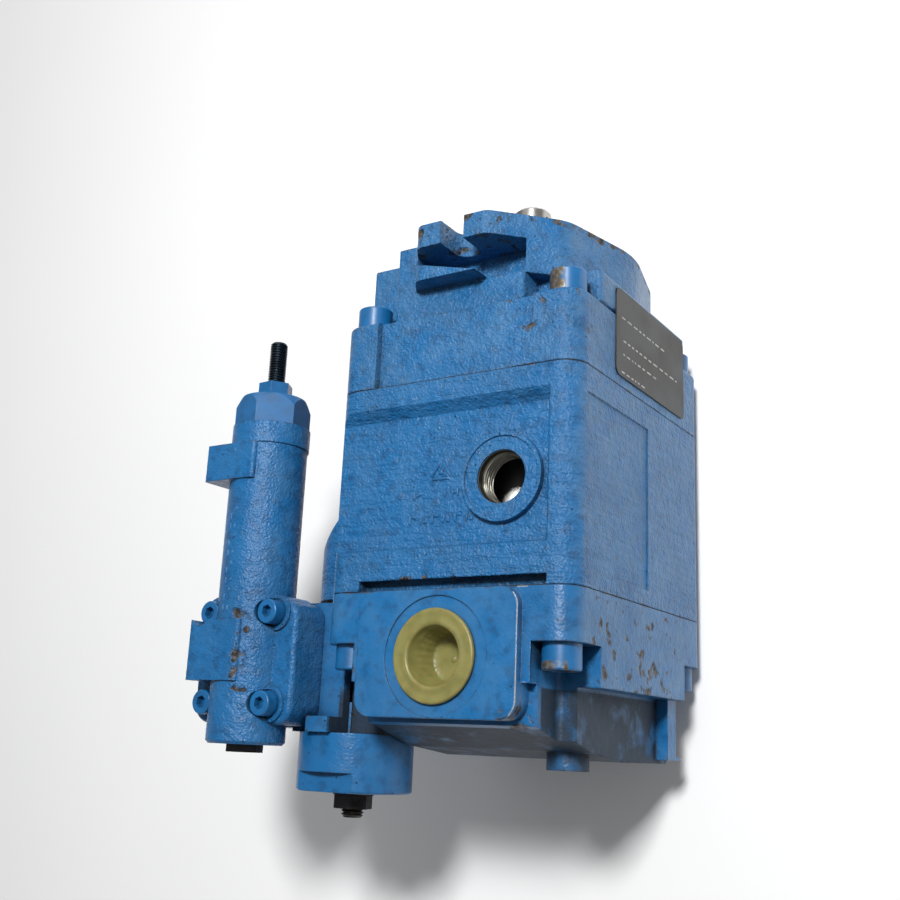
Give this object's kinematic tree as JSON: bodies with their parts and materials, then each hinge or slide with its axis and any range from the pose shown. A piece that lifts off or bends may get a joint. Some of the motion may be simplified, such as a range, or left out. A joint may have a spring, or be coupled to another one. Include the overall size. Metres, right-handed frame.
{
  "type": "axial piston pump",
  "caption": "Variable-displacement axial piston pump with two-bolt flange, keyed shaft, side ports, case drain and a screwed-on pressure compensator.",
  "frame": {"origin": "centre of the mounting face, on the drive shaft's axis", "axes": "+Y out of the drive shaft, +Z towards the case drain and the plugged port, +X towards the nameplate; the pump lies on its -Z side"},
  "size_m": [0.2301, 0.3503, 0.188],
  "materials": {
    "blue_cover": "gloss blue enamel over sand-cast iron",
    "blue_housing": "gloss blue enamel over sand-cast iron",
    "blue_block": "gloss blue enamel over sand-cast iron, scuffed",
    "blue_control": "gloss blue enamel over cast iron",
    "blue_cap": "gloss blue enamel over turned steel",
    "blue_hex": "gloss blue enamel over turned steel",
    "blue_nut": "gloss blue enamel over steel",
    "painted_bolt": "worn blue paint over black-oxide steel",
    "painted_screw": "worn blue paint over black-oxide steel",
    "painted_nut": "dark blue paint over steel",
    "gasket": "dark gasket paper",
    "plate_black": "black anodised label plate",
    "shaft_steel": "ground steel",
    "seal_rubber": "nitrile rubber",
    "bearing_steel": "ground bearing steel",
    "bronze": "bearing bronze",
    "block_steel": "turned steel",
    "spring_steel": "spring steel",
    "yoke_iron": "machined ductile iron",
    "piston_steel": "ground steel",
    "stud_black": "black oxide",
    "stop_dark": "black oxide with overspray",
    "plug_steel": "zinc-plated steel",
    "olive_plastic": "translucent olive polyethylene"
  },
  "bodies": {
    "housing": {"front_cover": "blue_cover", "mid_housing": "blue_housing", "valve_block": "blue_block", "case_gaskets": "gasket", "front_bolts": "painted_bolt", "rear_bolts": "painted_bolt", "nameplate": "plate_black", "shaft_seal": "seal_rubber", "front_bearing_cup": "bearing_steel", "rear_needle_bearing": "bearing_steel", "valve_plate": "bronze", "yoke_bearings": "bearing_steel", "control_cap": "blue_cap", "bias_guide": "piston_steel", "compensator_body": "blue_control", "compensator_screws": "painted_screw", "blanking_plugs": "plug_steel", "spring_cap": "blue_hex", "compensator_spring": "spring_steel", "bias_spring": "spring_steel"},
    "rotor": {"shaft": "shaft_steel", "front_bearing_cone": "bearing_steel", "cylinder_block": "block_steel", "block_spring": "spring_steel", "retainer_guide": "block_steel"},
    "yoke": {"yoke": "yoke_iron"},
    "shoe_retainer": {"retainer_plate": "block_steel"},
    "piston_1": {"piston_1": "piston_steel"},
    "shoe_1": {"shoe_1": "bronze"},
    "piston_2": {"piston_2": "piston_steel"},
    "shoe_2": {"shoe_2": "bronze"},
    "piston_3": {"piston_3": "piston_steel"},
    "shoe_3": {"shoe_3": "bronze"},
    "piston_4": {"piston_4": "piston_steel"},
    "shoe_4": {"shoe_4": "bronze"},
    "piston_5": {"piston_5": "piston_steel"},
    "shoe_5": {"shoe_5": "bronze"},
    "piston_6": {"piston_6": "piston_steel"},
    "shoe_6": {"shoe_6": "bronze"},
    "piston_7": {"piston_7": "piston_steel"},
    "shoe_7": {"shoe_7": "bronze"},
    "piston_8": {"piston_8": "piston_steel"},
    "shoe_8": {"shoe_8": "bronze"},
    "piston_9": {"piston_9": "piston_steel"},
    "shoe_9": {"shoe_9": "bronze"},
    "control_piston": {"control_piston": "piston_steel"},
    "control_rod": {"control_rod": "piston_steel"},
    "bias_piston": {"bias_piston": "piston_steel"},
    "spool": {"compensator_spool": "piston_steel"},
    "spring_seat": {"spring_seat": "piston_steel"},
    "adjusting_screw": {"adjusting_screw": "stud_black"},
    "adjuster_washer": {"adjuster_washer": "blue_nut"},
    "adjuster_jam_nut": {"adjuster_jam_nut": "blue_nut"},
    "stop_plunger": {"stop_plunger": "piston_steel"},
    "stop_screw": {"stop_screw": "stop_dark"},
    "stop_washer": {"stop_washer": "painted_nut"},
    "stop_nut": {"stop_nut": "painted_nut"},
    "shipping_plug": {"shipping_plug": "olive_plastic"}
  },
  "joints": [
    {"name": "shaft_spin", "type": "hinge", "parent": "housing", "child": "rotor", "pos_m": [0, 0, 0], "axis": [0, 1, 0], "continuous": true},
    {"name": "yoke_tilt", "type": "hinge", "parent": "housing", "child": "yoke", "pos_m": [0, -0.087, 0], "axis": [0, 0, 1], "range_deg": [0, 17.5], "deforming": ["retainer_plate", "piston_1", "shoe_1", "piston_2", "shoe_2", "piston_3", "shoe_3", "piston_4", "shoe_4", "piston_5", "shoe_5", "piston_6", "shoe_6", "piston_7", "shoe_7", "piston_8", "shoe_8", "piston_9", "shoe_9"]},
    {"name": "retainer_tilt", "type": "hinge", "parent": "rotor", "child": "shoe_retainer", "pos_m": [0, -0.087, 0], "axis": [0, 0, 1], "range_deg": [-18, 18]},
    {"name": "piston_1_stroke", "type": "slide", "parent": "rotor", "child": "piston_1", "axis": [0, 1, 0], "range_m": [-0.0105, 0.0105]},
    {"name": "shoe_1_swivel", "type": "hinge", "parent": "piston_1", "child": "shoe_1", "pos_m": [0.032, -0.087, 0], "axis": [0, 0, 1], "range_deg": [-18, 18]},
    {"name": "piston_2_stroke", "type": "slide", "parent": "rotor", "child": "piston_2", "axis": [0, 1, 0], "range_m": [-0.0105, 0.0105]},
    {"name": "shoe_2_swivel", "type": "hinge", "parent": "piston_2", "child": "shoe_2", "pos_m": [0.02451, -0.087, 0.02057], "axis": [0, 0, 1], "range_deg": [-18, 18]},
    {"name": "piston_3_stroke", "type": "slide", "parent": "rotor", "child": "piston_3", "axis": [0, 1, 0], "range_m": [-0.0105, 0.0105]},
    {"name": "shoe_3_swivel", "type": "hinge", "parent": "piston_3", "child": "shoe_3", "pos_m": [0.00556, -0.087, 0.03151], "axis": [0, 0, 1], "range_deg": [-18, 18]},
    {"name": "piston_4_stroke", "type": "slide", "parent": "rotor", "child": "piston_4", "axis": [0, 1, 0], "range_m": [-0.0105, 0.0105]},
    {"name": "shoe_4_swivel", "type": "hinge", "parent": "piston_4", "child": "shoe_4", "pos_m": [-0.016, -0.087, 0.02771], "axis": [0, 0, 1], "range_deg": [-18, 18]},
    {"name": "piston_5_stroke", "type": "slide", "parent": "rotor", "child": "piston_5", "axis": [0, 1, 0], "range_m": [-0.0105, 0.0105]},
    {"name": "shoe_5_swivel", "type": "hinge", "parent": "piston_5", "child": "shoe_5", "pos_m": [-0.03007, -0.087, 0.01094], "axis": [0, 0, 1], "range_deg": [-18, 18]},
    {"name": "piston_6_stroke", "type": "slide", "parent": "rotor", "child": "piston_6", "axis": [0, 1, 0], "range_m": [-0.0105, 0.0105]},
    {"name": "shoe_6_swivel", "type": "hinge", "parent": "piston_6", "child": "shoe_6", "pos_m": [-0.03007, -0.087, -0.01094], "axis": [0, 0, 1], "range_deg": [-18, 18]},
    {"name": "piston_7_stroke", "type": "slide", "parent": "rotor", "child": "piston_7", "axis": [0, 1, 0], "range_m": [-0.0105, 0.0105]},
    {"name": "shoe_7_swivel", "type": "hinge", "parent": "piston_7", "child": "shoe_7", "pos_m": [-0.016, -0.087, -0.02771], "axis": [0, 0, 1], "range_deg": [-18, 18]},
    {"name": "piston_8_stroke", "type": "slide", "parent": "rotor", "child": "piston_8", "axis": [0, 1, 0], "range_m": [-0.0105, 0.0105]},
    {"name": "shoe_8_swivel", "type": "hinge", "parent": "piston_8", "child": "shoe_8", "pos_m": [0.00556, -0.087, -0.03151], "axis": [0, 0, 1], "range_deg": [-18, 18]},
    {"name": "piston_9_stroke", "type": "slide", "parent": "rotor", "child": "piston_9", "axis": [0, 1, 0], "range_m": [-0.0105, 0.0105]},
    {"name": "shoe_9_swivel", "type": "hinge", "parent": "piston_9", "child": "shoe_9", "pos_m": [0.02451, -0.087, -0.02057], "axis": [0, 0, 1], "range_deg": [-18, 18]},
    {"name": "control_piston_stroke", "type": "slide", "parent": "housing", "child": "control_piston", "axis": [0, 1, 0], "range_m": [-0.0145, 0]},
    {"name": "control_rod_swing", "type": "hinge", "parent": "control_piston", "child": "control_rod", "pos_m": [-0.079, -0.212, 0.038], "axis": [0, 0, 1], "range_deg": [-3, 3]},
    {"name": "bias_piston_stroke", "type": "slide", "parent": "housing", "child": "bias_piston", "axis": [0, 1, 0], "range_m": [0, 0.0155], "deforming": ["bias_spring"]},
    {"name": "spool_travel", "type": "slide", "parent": "housing", "child": "spool", "axis": [0, 1, 0], "range_m": [0, 0.004], "stiffness_N_per_m": 1500, "springref_m": -0.002},
    {"name": "spring_seat_travel", "type": "slide", "parent": "housing", "child": "spring_seat", "axis": [0, 1, 0], "range_m": [-0.003, 0.003], "deforming": ["compensator_spring"]},
    {"name": "adjusting_screw_turn", "type": "hinge", "parent": "spring_seat", "child": "adjusting_screw", "pos_m": [-0.123, -0.076, 0.078], "axis": [0, 1, 0], "range_deg": [-721, 721]},
    {"name": "adjuster_washer_travel", "type": "slide", "parent": "housing", "child": "adjuster_washer", "axis": [0, 1, 0], "range_m": [0, 0.003]},
    {"name": "adjuster_jam_nut_turn", "type": "hinge", "parent": "adjuster_washer", "child": "adjuster_jam_nut", "pos_m": [-0.123, -0.078, 0.078], "axis": [0, 1, 0], "range_deg": [0, 721]},
    {"name": "stop_plunger_travel", "type": "slide", "parent": "housing", "child": "stop_plunger", "axis": [0, 1, 0], "range_m": [-0.0035, 0.0035]},
    {"name": "stop_screw_turn", "type": "hinge", "parent": "stop_plunger", "child": "stop_screw", "pos_m": [-0.079, -0.29, 0.038], "axis": [0, 1, 0], "range_deg": [-721, 721]},
    {"name": "stop_washer_travel", "type": "slide", "parent": "housing", "child": "stop_washer", "axis": [0, 1, 0], "range_m": [-0.0035, 0]},
    {"name": "stop_nut_turn", "type": "hinge", "parent": "stop_washer", "child": "stop_nut", "pos_m": [-0.079, -0.301, 0.038], "axis": [0, 1, 0], "range_deg": [-721, 0]},
    {"name": "shipping_plug_pull", "type": "slide", "parent": "housing", "child": "shipping_plug", "axis": [0, 0, 1], "range_m": [0, 0.05]}
  ],
  "couplings": [
    {"joint": "retainer_tilt", "follows": "yoke_tilt", "ratio": 1},
    {"joint": "piston_1_stroke", "follows": "yoke_tilt", "m_per_rad": 0.033034},
    {"joint": "shoe_1_swivel", "follows": "yoke_tilt", "ratio": 1},
    {"joint": "piston_2_stroke", "follows": "yoke_tilt", "m_per_rad": 0.025305},
    {"joint": "shoe_2_swivel", "follows": "yoke_tilt", "ratio": 1},
    {"joint": "piston_3_stroke", "follows": "yoke_tilt", "m_per_rad": 0.005736},
    {"joint": "shoe_3_swivel", "follows": "yoke_tilt", "ratio": 1},
    {"joint": "piston_4_stroke", "follows": "yoke_tilt", "m_per_rad": -0.016517},
    {"joint": "shoe_4_swivel", "follows": "yoke_tilt", "ratio": 1},
    {"joint": "piston_5_stroke", "follows": "yoke_tilt", "m_per_rad": -0.031041},
    {"joint": "shoe_5_swivel", "follows": "yoke_tilt", "ratio": 1},
    {"joint": "piston_6_stroke", "follows": "yoke_tilt", "m_per_rad": -0.031041},
    {"joint": "shoe_6_swivel", "follows": "yoke_tilt", "ratio": 1},
    {"joint": "piston_7_stroke", "follows": "yoke_tilt", "m_per_rad": -0.016517},
    {"joint": "shoe_7_swivel", "follows": "yoke_tilt", "ratio": 1},
    {"joint": "piston_8_stroke", "follows": "yoke_tilt", "m_per_rad": 0.005736},
    {"joint": "shoe_8_swivel", "follows": "yoke_tilt", "ratio": 1},
    {"joint": "piston_9_stroke", "follows": "yoke_tilt", "m_per_rad": 0.025305},
    {"joint": "shoe_9_swivel", "follows": "yoke_tilt", "ratio": 1},
    {"joint": "control_piston_stroke", "follows": "yoke_tilt", "m_per_rad": -0.046002},
    {"joint": "control_rod_swing", "follows": "yoke_tilt", "ratio": -0.13535},
    {"joint": "bias_piston_stroke", "follows": "yoke_tilt", "m_per_rad": 0.045644},
    {"joint": "adjusting_screw_turn", "follows": "spring_seat_travel", "rad_per_m": 4188.8},
    {"joint": "adjuster_jam_nut_turn", "follows": "adjuster_washer_travel", "rad_per_m": 4188.8},
    {"joint": "stop_screw_turn", "follows": "stop_plunger_travel", "rad_per_m": 3590.4},
    {"joint": "stop_nut_turn", "follows": "stop_washer_travel", "rad_per_m": 3590.4}
  ]
}
